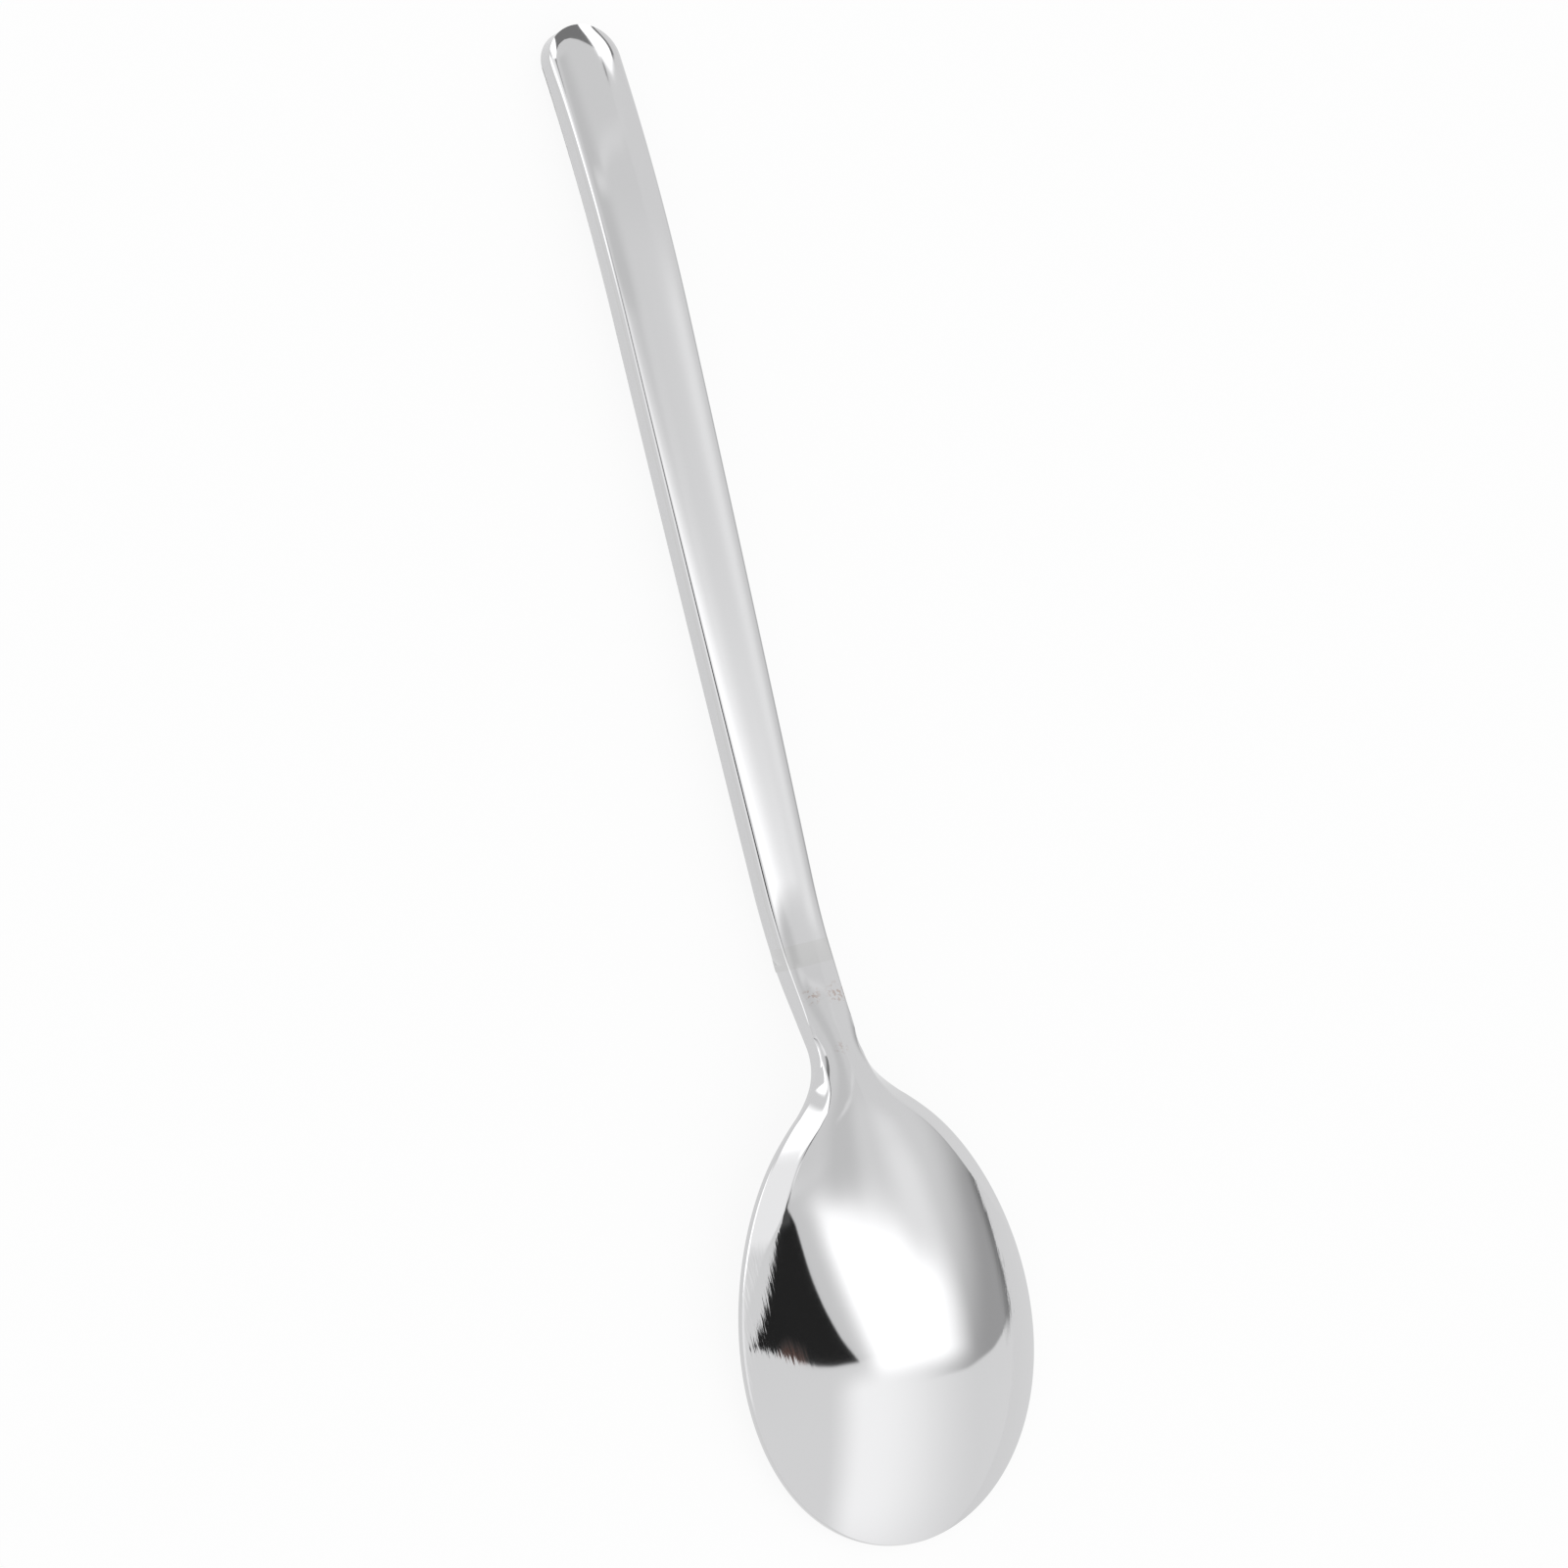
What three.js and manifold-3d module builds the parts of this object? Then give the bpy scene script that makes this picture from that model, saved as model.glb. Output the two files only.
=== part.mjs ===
// Table spoon with a hollow handle, lying on its front with its back up. Millimetres and degrees.
// X runs across the spoon, +Y points to the end of the handle and +Z points up.
// The origin is on the floor under the middle of the spoon. A station is a distance from the bowl's tip.

import * as THREE from "three";
import { mergeVertices } from "three/addons/utils/BufferGeometryUtils.js";
import Module from "manifold-3d";

const { clamp, degToRad, lerp, smoothstep } = THREE.MathUtils;

// Shared by the neck and the handle, whose faces meet flush
const THICKNESS = 4.2;

// Bowl
const BOWL_LENGTH = 61;
const BOWL_WIDTH = 43.5;
const BOWL_EGG = 0.11; // how far the widest place leans towards the tip, in half lengths
const BOWL_RISE = 8.1; // height of the back above the rim's edge
const BOWL_FULLNESS = 0.12; // 0 is a plain parabola across the bowl, more steepens the sides
const BOWL_POWER = 4; // how close to the rim that steepening sits
const BOWL_WALL = 1.3; // thickness at the deepest place
const DOME_OVERRUN = 8.5; // how far the back's arch runs on past the bowl, into the neck
const DOME_EGG = 0.15;
const RIM_TILT = 7.8; // of the rim's plane against the floor
const RIM_EDGE = 1.1; // height of the upright edge round the rim
const RIM_LAND = 1; // width of the flat rim
const HOLLOW_FULLNESS = 0.85; // under 1 keeps the hollow deep towards both its ends
const HEEL_LAND = 3; // from the hollow's end to the neck

// Neck
const NECK_LENGTH = 16.6;
const NECK_WIDTH = 6.5; // at its narrowest
const NECK_TILT = 14.5; // of the neck against the handle
const NECK_EDGE = 0.35; // height of the worn edges of its back
const NECK_FLARE = 9; // reach of the curve from the neck into the bowl's outline
const MOUTH_SPREAD = 6; // length over which the neck widens to the handle's mouth
const SHOULDER_LENGTH = 15; // over which the neck's edges rise out of the bowl
const SHOULDER_BLEND = 12; // softness of the shoulders' start
const FLANK_ANGLE = 84; // steepness of the shoulders' flanks at the neck
const CREASE_BLEND = 0.3; // softness of the crease between the back and those flanks
const NECK_BLEND = 16; // length over which the bowl's arch runs over into the neck's back
const HEEL_BLEND = 3; // softness of the corner between the bowl's rim and the neck's front
const BEND_REACH = 3.4; // from the neck's end to the middle of the bend into the handle
const BEND_BLEND = 2; // softness of that bend

// Handle
const HANDLE_LENGTH = 124.6;
const HANDLE_HEIGHT = 2.8; // of the front face above the floor, at the neck
const HANDLE_TILT = 0.6; // of the straight part against the floor
const HANDLE_WIDTH_AT_NECK = 7.2;
const HANDLE_WIDTH_AT_END = 10.3;
const HANDLE_SWELL = 0.52; // extra width half way, over a straight taper
const HANDLE_CROWN = 0.6; // rise of the back across its width
const CROWN_POWER = 3; // how much of that rise sits towards the edges
const BACK_EDGE = 0.45; // height of the rounded edges of the back
const FRONT_EDGE = 0.35; // height of the rounded edges of the front
const EDGE_POWER = 40; // sharpness of the handle's edges
const TIP_EDGE_POWER = 12; // and of its edges at the round end
const HANDLE_WALL = 0.8;
const TIP_LENGTH = 5; // length of the round end
const TIP_ROLL = 9; // length over which the back rolls down to the end
const TIP_ROLL_POWER = 4;
const TIP_BEND = 40; // length of the curve from the straight part down to the floor
const TIP_BEND_POWER = 2;

// Joints between the pieces
const NECK_WELD_LENGTH = 3;
const SEAM_DROP = 0.1; // from the start of the back's rounded edges down to the bead
const SEAM_WELD_WIDTH = 0.4;
const SEAM_WELD_DEPTH = 0.4;
const SEAM_ROOT_GAP = 0.1; // between the shells behind the bead
const WELD_CLEARANCE = 0.05;
const TANG_LENGTH = 18;
const TANG_CLEARANCE = 0.3;

// Fineness of the facets
const BOWL_STEPS = 30;
const BOWL_FIRST_ANGLE = 1; // the bowl's stations are those of equal turns round a half circle
const BOWL_LAST_ANGLE = 150;
const NECK_STEP = 1.4;
const HANDLE_STEP = 12;
const BEND_STEPS = 12;
const TIP_STEPS = 8;
const WELD_STEPS = 4;
const TIP_LAST_ANGLE = 86; // of the quarter circle that the round end's stations follow
const HEAD_POINTS = 28; // across each face of the bowl
const HANDLE_POINTS = 16; // across each face of the handle
const FLAT_SHARE = 0.6; // part of the handle's front that is one flat strip
const HEEL_SHARE = 0.125; // spread of the hollow's points beyond its ends, as a part of the width

// Places along the spoon
const NECK_END = BOWL_LENGTH + NECK_LENGTH;
const HANDLE_START = NECK_END + NECK_WELD_LENGTH;
const SPOON_LENGTH = HANDLE_START + HANDLE_LENGTH;
const NECK_BEND = NECK_END + BEND_REACH;
const SHOULDER_START = BOWL_LENGTH - SHOULDER_LENGTH;
const DOME_END = BOWL_LENGTH + DOME_OVERRUN;
const HOLLOW_END = BOWL_LENGTH - HEEL_LAND;
const TIP_START = SPOON_LENGTH - TIP_LENGTH;
const OVERRUN = 2; // how far a cutter reaches past what it cuts

// Heights
const HOLLOW_DEPTH = BOWL_RISE + RIM_EDGE - BOWL_WALL;
const SIDE_HEIGHT = THICKNESS - HANDLE_CROWN - BACK_EDGE; // of the handle's upright sides
const SEAM_HEIGHT = SIDE_HEIGHT - SEAM_DROP - SEAM_WELD_WIDTH / 2; // above the front face
const RIM_SLOPE = 2 + (BOWL_POWER - 2) * BOWL_FULLNESS; // fall of the back at the rim, for a unit dome

// The larger of two values, with the corner between them rounded over a given reach.
function softMax(a, b, reach) {
  const near = Math.max(reach - Math.abs(a - b), 0);
  return Math.max(a, b) + (near > 0 ? (near * near) / (4 * reach) : 0);
}

function softMin(a, b, reach) {
  return -softMax(-a, -b, reach);
}

// Place between -1 and 1 along a stretch, leaning so that 0 falls before its middle.
function eggPlace(station, start, end, egg) {
  const t = (2 * (station - start)) / (end - start) - 1;
  return t + egg * (1 - t * t);
}

// 1 at the middle of such a stretch, falling as a parabola to 0 at its ends and on below 0.
function arch(place) {
  return 1 - place * place;
}

// Height of the straight handle's front face above the floor.
function straightFront(station) {
  return HANDLE_HEIGHT + (station - HANDLE_START) * Math.tan(degToRad(HANDLE_TILT));
}

// 0 along the straight handle, growing to 1 at its end.
function tipBend(station) {
  return clamp((station - SPOON_LENGTH + TIP_BEND) / TIP_BEND, 0, 1) ** TIP_BEND_POWER;
}

// Height of the front along the neck and handle. It slopes down from the bowl, runs level, and curves down
// to the floor at the end.
function frontFace(station) {
  const slope = (NECK_BEND - station) * Math.tan(degToRad(NECK_TILT));
  const drop = straightFront(SPOON_LENGTH) * tipBend(station);
  return straightFront(station) + softMax(slope, 0, BEND_BLEND) - drop;
}

// Height of the rim's plane.
function rimPlane(station) {
  return station * Math.tan(degToRad(RIM_TILT));
}

// Height of the lower edge along the bowl and neck.
function lowerEdge(station) {
  return softMin(rimPlane(station), frontFace(station), HEEL_BLEND);
}

// Height of the back's middle line from the bowl's tip to the end of the neck.
function backLine(station) {
  const dome = rimPlane(station) + RIM_EDGE + BOWL_RISE * arch(eggPlace(station, 0, DOME_END, DOME_EGG));
  const neck = frontFace(station) + THICKNESS;
  return lerp(dome, neck, smoothstep(station, DOME_END - NECK_BLEND, DOME_END));
}

// Half the width of the bowl and neck, up to the handle's mouth.
function headHalfWidth(station) {
  const place = eggPlace(station, 0, BOWL_LENGTH, BOWL_EGG);
  const past = station - BOWL_LENGTH;
  const bowl = past > 0 ? -past : (BOWL_WIDTH / 2) * Math.sqrt(arch(place));
  const mouth = smoothstep(station, HANDLE_START - MOUTH_SPREAD, HANDLE_START);
  const neck = lerp(NECK_WIDTH, HANDLE_WIDTH_AT_NECK, mouth) / 2;
  return station < BOWL_LENGTH / 2 ? bowl : softMax(bowl, neck, NECK_FLARE);
}

function handleHalfWidth(station) {
  const along = (station - HANDLE_START) / HANDLE_LENGTH;
  const taper = lerp(HANDLE_WIDTH_AT_NECK, HANDLE_WIDTH_AT_END, along);
  return (taper + HANDLE_SWELL * arch(2 * along - 1)) / 2;
}

// Places from -1 to 1, closer together towards the edges.
function spread(count) {
  return Array.from({ length: count + 1 }, (_, i) => -Math.cos((Math.PI * i) / count));
}

// Height across the bowl: 1 in the middle and 0 at the rim, steeper there for a larger fullness.
function across(place) {
  return 1 - (1 - BOWL_FULLNESS) * place ** 2 - BOWL_FULLNESS * Math.abs(place) ** BOWL_POWER;
}

// How far the back falls from its middle line to a place beside it. From the start of the shoulders on the
// fall stays as it is there, so the bowl's dome runs on into the neck's back.
function domeFall(station, x) {
  const root = softMin(station, SHOULDER_START, SHOULDER_BLEND);
  const rise = backLine(root) - lowerEdge(root) - RIM_EDGE;
  return rise * (1 - across(x / headHalfWidth(root)));
}

// Closed ring of a head section: lower face from left to right, then the back from right to left. Along the
// shoulders the dome is cut by flanks, which leave the bowl's slope and steepen into the neck's sides.
function headRing(station) {
  const half = headHalfWidth(station);
  const low = lowerEdge(station);
  const shoulder = smoothstep(station, SHOULDER_START, BOWL_LENGTH);
  const wall = smoothstep(station, BOWL_LENGTH - NECK_FLARE / 2, BOWL_LENGTH + NECK_FLARE / 2);
  const edge = lerp(RIM_EDGE, THICKNESS - NECK_EDGE, wall);
  const rise = backLine(station) - low - edge;
  const flank = Math.tan(lerp(Math.atan((RIM_SLOPE * rise) / half), degToRad(FLANK_ANGLE), shoulder));
  const place = eggPlace(station, RIM_LAND, HOLLOW_END, BOWL_EGG);
  const inside = station > RIM_LAND && station < HOLLOW_END ? arch(place) : 0;
  const hollowHalf = Math.max((BOWL_WIDTH / 2 - RIM_LAND) * Math.sqrt(inside), half * HEEL_SHARE);
  const depth = HOLLOW_DEPTH * inside ** HOLLOW_FULLNESS;
  const under = (u) => [u * hollowHalf, low + depth * across(u)];
  const dome = (u) => rise - domeFall(station, u * half);
  const side = (u) => flank * half * (1 - Math.abs(u));
  const over = (u) => [-u * half, low + edge + softMin(dome(u), side(u), CREASE_BLEND * shoulder)];
  const hollow = spread(HEAD_POINTS - 2).map(under);
  const back = spread(HEAD_POINTS).map(over);
  return [[-half, low], ...hollow, [half, low], ...back];
}

// Closed ring of a handle section. An inset draws the sides in; a floor and a roof take the place of the
// faces where they are given as depths below the outer faces.
function handleRing(station, { inset = 0, floor = 0, roof = 0 }) {
  const past = clamp((station - TIP_START) / (TIP_LENGTH - inset), 0, 1);
  const full = handleHalfWidth(station);
  const half = (full - inset) * Math.sqrt(1 - past * past);
  const roll = Math.max(station - SPOON_LENGTH + TIP_ROLL, 0) / TIP_ROLL;
  const rolled = roll ** TIP_ROLL_POWER;
  const out = (x) => Math.sqrt((x / full) ** 2 * (1 - rolled) + rolled);
  const low = frontFace(station);
  const power = lerp(EDGE_POWER, TIP_EDGE_POWER, tipBend(station));
  const lower = (x) => low + floor + (floor ? 0 : FRONT_EDGE * out(x) ** power);
  const edge = (x) => (roof ? 0 : BACK_EDGE * out(x) ** power);
  const upper = (x) => low + THICKNESS - roof - HANDLE_CROWN * out(x) ** CROWN_POWER - edge(x);
  const places = spread(HANDLE_POINTS);
  const front = places.filter((u) => Math.abs(u) > FLAT_SHARE).map((u) => [u * half, lower(u * half)]);
  const back = places.map((u) => [-u * half, upper(u * half)]);
  return [...front, ...back];
}

// Closed surface through a ring at each station.
function loft(stations, ringAt) {
  const rings = stations.map(ringAt);
  const count = rings[0].length;
  const along = stations.map((station) => station - SPOON_LENGTH / 2);
  const points = rings.flatMap((ring, i) => ring.map(([x, z]) => [x, along[i], z]));
  const faces = [];
  for (let i = 0; i + 1 < rings.length; i += 1) {
    for (let j = 0; j < count; j += 1) {
      const a = i * count + j;
      const b = i * count + ((j + 1) % count);
      faces.push(a, a + count, b + count, a, b + count, b);
    }
  }
  [0, rings.length - 1].forEach((i) => {
    const middle = rings[i].reduce((sum, [, z]) => sum + z, 0) / count;
    const hub = points.push([0, along[i], middle]) - 1;
    for (let j = 0; j < count; j += 1) {
      const a = i * count + j;
      const b = i * count + ((j + 1) % count);
      faces.push(hub, ...(i === 0 ? [a, b] : [b, a]));
    }
  });
  const geometry = new THREE.BufferGeometry();
  geometry.setAttribute("position", new THREE.Float32BufferAttribute(points.flat(), 3));
  geometry.setIndex(faces);
  return geometry;
}

const wasm = await Module();
wasm.setup();

function solid(geometry) {
  const merged = mergeVertices(geometry);
  const vertProperties = new Float32Array(merged.getAttribute("position").array);
  return new wasm.Manifold(
    new wasm.Mesh({ numProp: 3, vertProperties, triVerts: new Uint32Array(merged.index.array) }),
  );
}

// Even steps from one station to another, both included.
function steps(from, to, count) {
  return Array.from({ length: count + 1 }, (_, i) => lerp(from, to, i / count));
}

// Stations along the bowl, close together at the tip, and then along the neck.
function headStations() {
  const turns = steps(BOWL_FIRST_ANGLE, BOWL_LAST_ANGLE, BOWL_STEPS);
  const bowl = turns.map((turn) => (BOWL_LENGTH / 2) * (1 - Math.cos(degToRad(turn))));
  const last = bowl[bowl.length - 1];
  return [...bowl, ...steps(last, NECK_END, Math.ceil((NECK_END - last) / NECK_STEP)).slice(1)];
}

// Stations along the handle from a given place, ending with the round end drawn in by an inset.
function handleStations(from, inset) {
  const bend = Math.min(SPOON_LENGTH - TIP_BEND, TIP_START);
  const level = Math.max(from, NECK_BEND + BEND_BLEND / Math.tan(degToRad(NECK_TILT)));
  const rise = steps(from, level, Math.ceil((level - from) / NECK_STEP)).slice(0, -1);
  const straight = [...rise, ...steps(level, bend, Math.ceil((bend - level) / HANDLE_STEP))];
  const curve = steps(bend, TIP_START, BEND_STEPS).slice(1);
  const turns = steps(0, TIP_LAST_ANGLE, TIP_STEPS).slice(1);
  const tip = turns.map((turn) => TIP_START + (TIP_LENGTH - inset) * Math.sin(degToRad(turn)));
  return [...straight, ...curve, ...tip];
}

function handleForm(from, shape) {
  return solid(loft(handleStations(from, shape.inset ?? 0), (station) => handleRing(station, shape)));
}

// Oblong ring between two heights above a given level.
function bar(level, half, bottom, top) {
  const low = level + bottom;
  const high = level + top;
  return [[-half, low], [half, low], [half, high], [-half, high]];
}

// Slab that follows the handle's curve between two heights above the front face.
function slab(bottom, top) {
  const reach = HANDLE_WIDTH_AT_END;
  const stations = [...handleStations(HANDLE_START - OVERRUN, 0), SPOON_LENGTH + OVERRUN];
  return solid(loft(stations, (station) => bar(frontFace(station), reach, bottom, top)));
}

// Tang section in the handle's mouth, grown by a clearance.
function tangForm(from, to, grow) {
  const mouth = HANDLE_WIDTH_AT_NECK / 2;
  const half = mouth - HANDLE_WALL - TANG_CLEARANCE + grow;
  const bottom = HANDLE_WALL + TANG_CLEARANCE - grow;
  const drop = HANDLE_CROWN * (half / mouth) ** CROWN_POWER;
  const top = THICKNESS - HANDLE_WALL - drop - TANG_CLEARANCE + grow;
  const stations = steps(from, to, Math.ceil((to - from) / NECK_STEP));
  return solid(loft(stations, (station) => bar(frontFace(station), half, bottom, top)));
}

function bowlAndNeck() {
  const head = solid(loft(headStations(), headRing));
  return head.add(tangForm(NECK_END - OVERRUN, HANDLE_START + TANG_LENGTH, 0));
}

// The handle's hollow body, the groove for its bead, and the bead itself.
function handleParts() {
  const outside = handleForm(HANDLE_START, {});
  const within = { inset: HANDLE_WALL, floor: HANDLE_WALL, roof: HANDLE_WALL };
  const wall = outside.subtract(handleForm(HANDLE_START - OVERRUN, within));
  const core = (depth) => handleForm(HANDLE_START - OVERRUN, { inset: depth });
  const low = SEAM_HEIGHT - SEAM_WELD_WIDTH / 2;
  const high = SEAM_HEIGHT + SEAM_WELD_WIDTH / 2;
  const groove = slab(low - WELD_CLEARANCE, high + WELD_CLEARANCE);
  const shells = wall.subtract(groove.subtract(core(SEAM_WELD_DEPTH + WELD_CLEARANCE)));
  return {
    front: shells.intersect(slab(-OVERRUN, SEAM_HEIGHT - SEAM_ROOT_GAP / 2)),
    back: shells.intersect(slab(SEAM_HEIGHT + SEAM_ROOT_GAP / 2, THICKNESS + OVERRUN)),
    bead: outside.intersect(slab(low, high)).subtract(core(SEAM_WELD_DEPTH)),
  };
}

// Bead between the neck's end and the handle's mouth, from the one's section to the other's.
function neckWeld() {
  const crown = domeFall(NECK_END, headHalfWidth(NECK_END));
  const edge = (u) => Math.abs(u) ** EDGE_POWER;
  const neckDrop = (u) => crown * u ** 2 + (NECK_EDGE - crown) * edge(u);
  const handleDrop = (u) => HANDLE_CROWN * Math.abs(u) ** CROWN_POWER + BACK_EDGE * edge(u);
  const ringAt = (station) => {
    const along = smoothstep(station, NECK_END, HANDLE_START);
    const half = headHalfWidth(station);
    const low = frontFace(station);
    const lower = (u) => [u * half, low + FRONT_EDGE * along * edge(u)];
    const upper = (u) => [-u * half, low + THICKNESS - lerp(neckDrop(u), handleDrop(u), along)];
    const places = spread(HANDLE_POINTS);
    return [...places.map(lower), ...places.map(upper)];
  };
  const stations = steps(NECK_END + WELD_CLEARANCE, HANDLE_START - WELD_CLEARANCE, WELD_STEPS);
  const passage = tangForm(NECK_END - OVERRUN, HANDLE_START + OVERRUN, WELD_CLEARANCE);
  return solid(loft(stations, ringAt)).subtract(passage);
}

// Named mesh of a finished solid, in its own steel.
function piece(name, made, roughness) {
  const { vertProperties, triVerts } = made.getMesh();
  const geometry = new THREE.BufferGeometry();
  geometry.setAttribute("position", new THREE.BufferAttribute(vertProperties, 3));
  geometry.setIndex(new THREE.BufferAttribute(triVerts, 1));
  geometry.computeVertexNormals();
  const steel = new THREE.MeshStandardMaterial({ color: 0xc8c9c9, roughness, metalness: 1 });
  const mesh = new THREE.Mesh(geometry, steel);
  mesh.name = name;
  return mesh;
}

const POLISHED = 0.08;
const GROUND = 0.2;

const handle = handleParts();
const spoon = new THREE.Group();
spoon.add(
  piece("bowl_and_neck", bowlAndNeck(), POLISHED),
  piece("handle_front_shell", handle.front, POLISHED),
  piece("handle_back_shell", handle.back, POLISHED),
  piece("seam_weld", handle.bead, GROUND),
  piece("neck_weld", neckWeld(), GROUND),
);

export default spoon;
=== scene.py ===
"""Polished table spoon with a hollow handle, lying on its front on a white studio floor.

Everything is in metres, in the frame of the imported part: X runs across the spoon, +Y points to the end of
the handle and +Z points up. A station is a distance from the bowl's tip.
"""

import math

import bmesh
import bpy
from bpy.props import FloatProperty, FloatVectorProperty, PointerProperty
from mathutils import Matrix, Vector


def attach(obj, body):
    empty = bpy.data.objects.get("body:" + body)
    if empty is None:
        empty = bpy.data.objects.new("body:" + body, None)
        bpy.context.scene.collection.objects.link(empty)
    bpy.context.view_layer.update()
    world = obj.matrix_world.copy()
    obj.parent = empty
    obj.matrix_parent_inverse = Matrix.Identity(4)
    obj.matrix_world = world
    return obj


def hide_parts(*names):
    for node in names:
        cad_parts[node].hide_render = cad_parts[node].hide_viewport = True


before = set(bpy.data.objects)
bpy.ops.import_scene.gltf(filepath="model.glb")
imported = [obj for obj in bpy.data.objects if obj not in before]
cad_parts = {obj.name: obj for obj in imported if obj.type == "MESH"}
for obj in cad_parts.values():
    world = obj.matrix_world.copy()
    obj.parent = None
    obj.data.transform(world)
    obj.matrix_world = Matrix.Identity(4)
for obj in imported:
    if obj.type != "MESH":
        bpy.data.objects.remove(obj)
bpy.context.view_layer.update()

bl_info = {
    "name": "Hollow-handled table spoon",
    "version": (1, 0, 0),
    "blender": (4, 5, 0),
    "location": "View3D > Sidebar > Spoon",
    "description": "Builds a polished table spoon over its packed solids, with a white studio stage",
    "category": "Object",
}

MM = 0.001
BODY = "root"
WELD_DISTANCE = 0.0005 * MM
SHARP_ANGLE = math.radians(50)

# Shape of the bowl, as plain ratios
BOWL_EGG = 0.11
BOWL_FULLNESS = 0.12
BOWL_POWER = 4
RIM_SLOPE = 2 + (BOWL_POWER - 2) * BOWL_FULLNESS
DOME_EGG = 0.15
HOLLOW_FULLNESS = 0.85
HEEL_SHARE = 0.9

# Shape of the handle, as plain ratios
CROWN_POWER = 3
EDGE_POWER = 40
TIP_EDGE_POWER = 5
TIP_FLATNESS = 0.75
TIP_BEND_POWER = 2

# Fineness of the meshes
BOWL_ROWS = 140
BOWL_SWEEP = math.radians(150)
NECK_ROWS = 90
BACK_COLUMNS = 160
HOLLOW_COLUMNS = 64
WALL_COLUMNS = 4
CORNER_COLUMNS = 6
TANG_ROWS = 14
HANDLE_ROWS = 110
BEND_ROWS = 40
TIP_ROWS = 28
WELD_ROWS = 12
FACE_COLUMNS = 96
CAVITY_COLUMNS = 24
EDGE_CROWDING = 0.75

# Finish of the steel. Real buffing lines are much finer, and these are drawn wide enough to show.
MIRROR_ROUGHNESS = 0.045
BUFFED_ROUGHNESS = 0.055
GROUND_ROUGHNESS = 0.2
WELD_ROUGHNESS = 0.07
MIRROR_LINES = 0.0004 * MM  # depth of the lines, as are the next three
BUFFED_LINES = 0.0005 * MM
GROUND_LINES = 0.0006 * MM
RIM_LINES = 0.018 * MM
RIM_REACH = (13 * MM, 19 * MM)  # from the middle line, where the bowl's lines deepen to those of its rim
LINE_WIDTH = 0.45 * MM
LINE_LENGTH = 6 * MM
PATCH_SIZE = 9 * MM
PATCH_EDGE = (0.3, 0.75)  # level of the mottle where a dull patch begins and where it is full
PATCH_DULLNESS = (0.8, 1.3)  # roughness beside a patch and in it, as parts of the finish's own
MOTTLE_DETAIL = 3.0

# Brown film at the neck, as places and reaches of its spots
FILM_SPECK = 0.5 * MM
FILM_EDGE = (0.5, 0.6)  # level of the mottle where a speck begins and where it is full
FILM_CORE = 1 / 3  # part of a spot's reach where the film is full
FILM_STRENGTH = 0.55
FILM_SPOTS = (
    ((2 * MM, -29.5 * MM, 8.3 * MM), 2 * MM),
    ((-1.6 * MM, -29 * MM, 8.2 * MM), 1.6 * MM),
    ((-0.2 * MM, -36.5 * MM, 10 * MM), 1.3 * MM),
)

# Camera, worked out from the spoon's outline in the photograph
CAMERA_LENS = 100
CAMERA_SENSOR = 36
CAMERA_LEAN = math.radians(27.2)
CAMERA_PITCH = math.radians(-0.315)
CAMERA_ROLL = math.radians(-13.3)
CAMERA_DISTANCE = 576.6 * MM
CAMERA_ASIDE = (5.45 * MM, 0.12 * MM)


def linear(hex_colour):
    """Linear colour with alpha from an sRGB hex value."""
    parts = [int(hex_colour[i : i + 2], 16) / 255 for i in (1, 3, 5)]
    return tuple(c / 12.92 if c <= 0.04045 else ((c + 0.055) / 1.055) ** 2.4 for c in parts) + (1.0,)


def size(name, description, millimetres):
    return FloatProperty(
        name=name, description=description, default=millimetres * MM, min=0, precision=5, unit="LENGTH"
    )


def angle(name, description, degrees):
    return FloatProperty(
        name=name, description=description, default=math.radians(degrees), min=0, subtype="ANGLE"
    )


def colour(name, description, hex_colour):
    return FloatVectorProperty(
        name=name, description=description, default=linear(hex_colour), size=4, min=0, max=1, subtype="COLOR"
    )


class SpoonBowlSizes(bpy.types.PropertyGroup):
    """Sizes of the bowl."""

    length: size("Length", "From the tip to the neck", 61)
    width: size("Width", "Across the widest place", 43.5)
    rise: size("Rise", "Height of the back above the rim's edge", 8.1)
    wall: size("Wall", "Thickness at the deepest place", 1.3)
    dome_overrun: size("Dome overrun", "How far the back's arch runs on into the neck", 8.5)
    rim_tilt: angle("Rim tilt", "Of the rim's plane against the floor", 7.8)
    rim_edge: size("Rim edge", "Height of the upright edge round the rim", 1.1)
    rim_round: size("Rim rounding", "Reach of the rounded corners of that edge", 0.3)
    rim_land: size("Rim land", "Width of the flat rim", 1)
    heel_land: size("Heel land", "From the hollow's end to the neck", 3)
    heel_blend: size("Heel softness", "Of the corner between the rim and the neck's front", 1.2)
    heel_raise: size("Heel raise", "Of the front above the neck's straight line, where the bowl begins", 0.5)


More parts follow.
